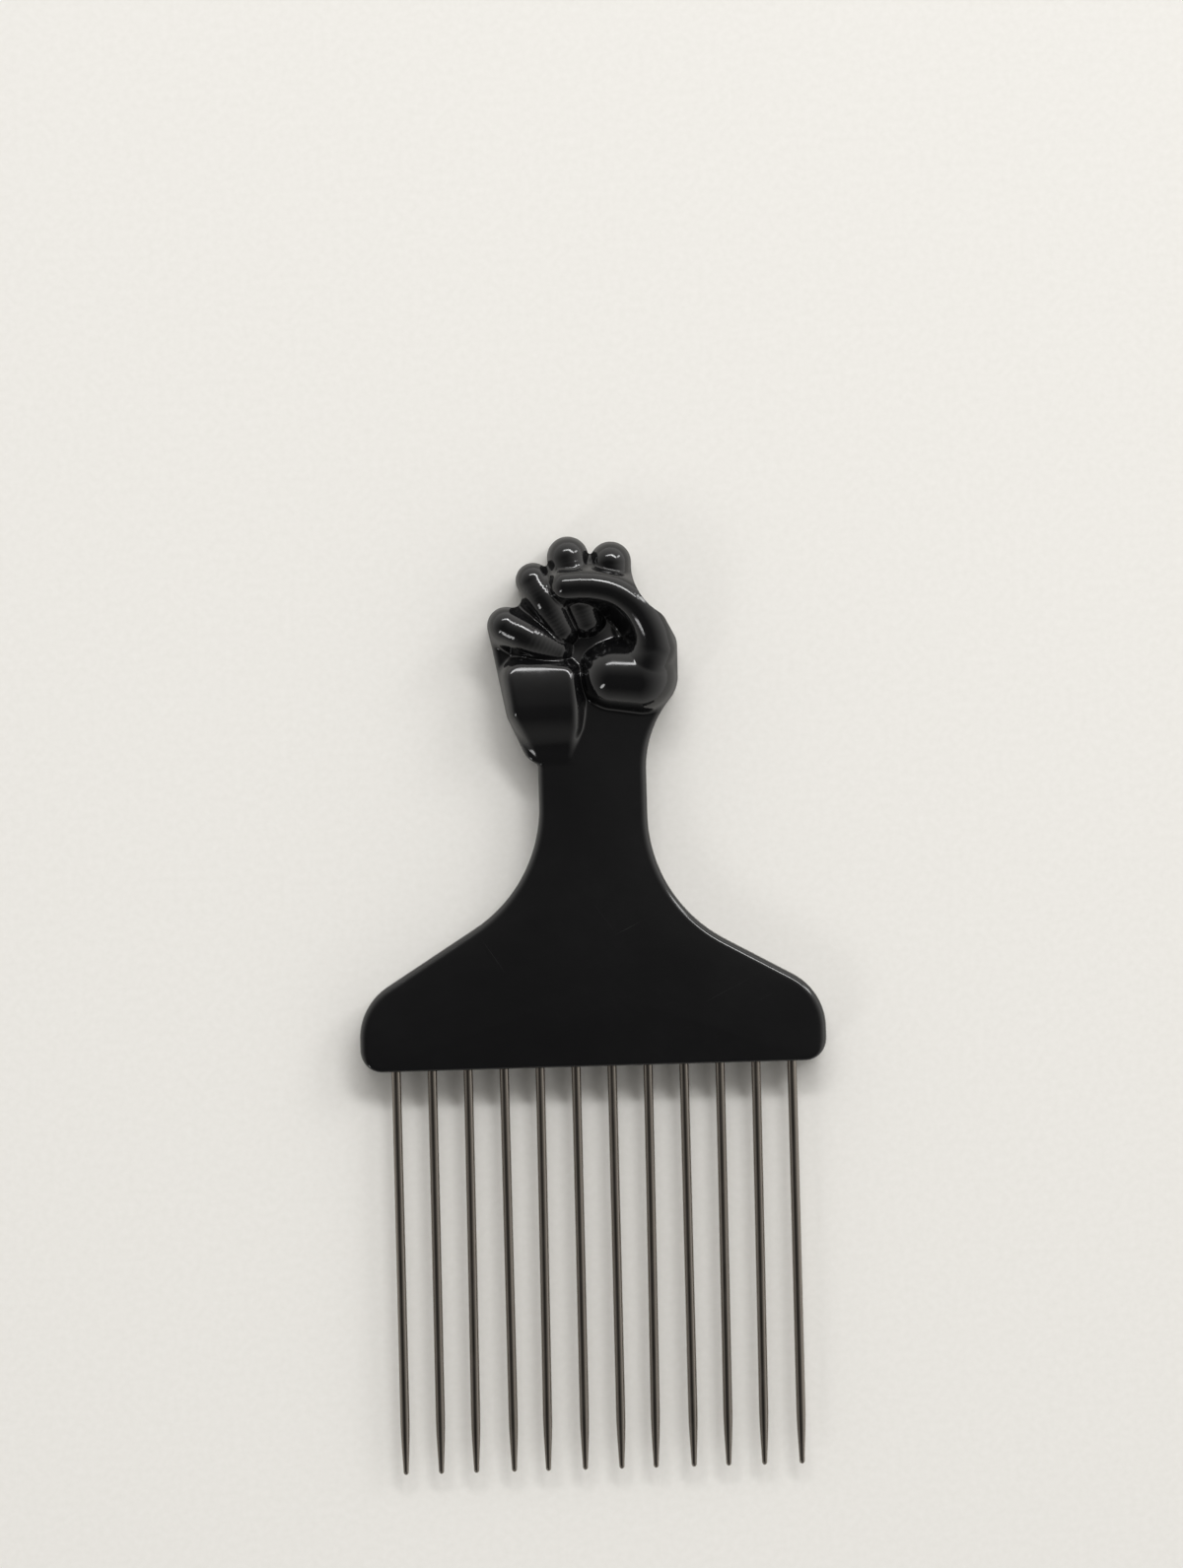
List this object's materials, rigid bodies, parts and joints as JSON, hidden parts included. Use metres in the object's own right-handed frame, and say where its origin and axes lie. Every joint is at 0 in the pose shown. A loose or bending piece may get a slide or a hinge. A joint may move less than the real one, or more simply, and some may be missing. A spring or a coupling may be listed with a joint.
{
  "type": "afro pick",
  "caption": "Afro pick: glossy black moulded handle shaped as a forearm and raised fist on a wide bridge, with a row of long bright steel wire pins.",
  "frame": {"origin": "on the flat back, in the middle of the row of pins, 11 mm above the face that the pins leave", "axes": "+X along the row of pins, +Y from the pins towards the fist, +Z out of the palm side; it lies on its flat back at z = 0"},
  "size_m": [0.084, 0.1684, 0.0152],
  "materials": {
    "handle_plastic": "black, glossy as moulded",
    "pin_steel": "drawn steel wire, bright nickel plated"
  },
  "bodies": {
    "root": {"handle": "handle_plastic", "pin_01": "pin_steel", "pin_02": "pin_steel", "pin_03": "pin_steel", "pin_04": "pin_steel", "pin_05": "pin_steel", "pin_06": "pin_steel", "pin_07": "pin_steel", "pin_08": "pin_steel", "pin_09": "pin_steel", "pin_10": "pin_steel", "pin_11": "pin_steel", "pin_12": "pin_steel"}
  },
  "joints": []
}
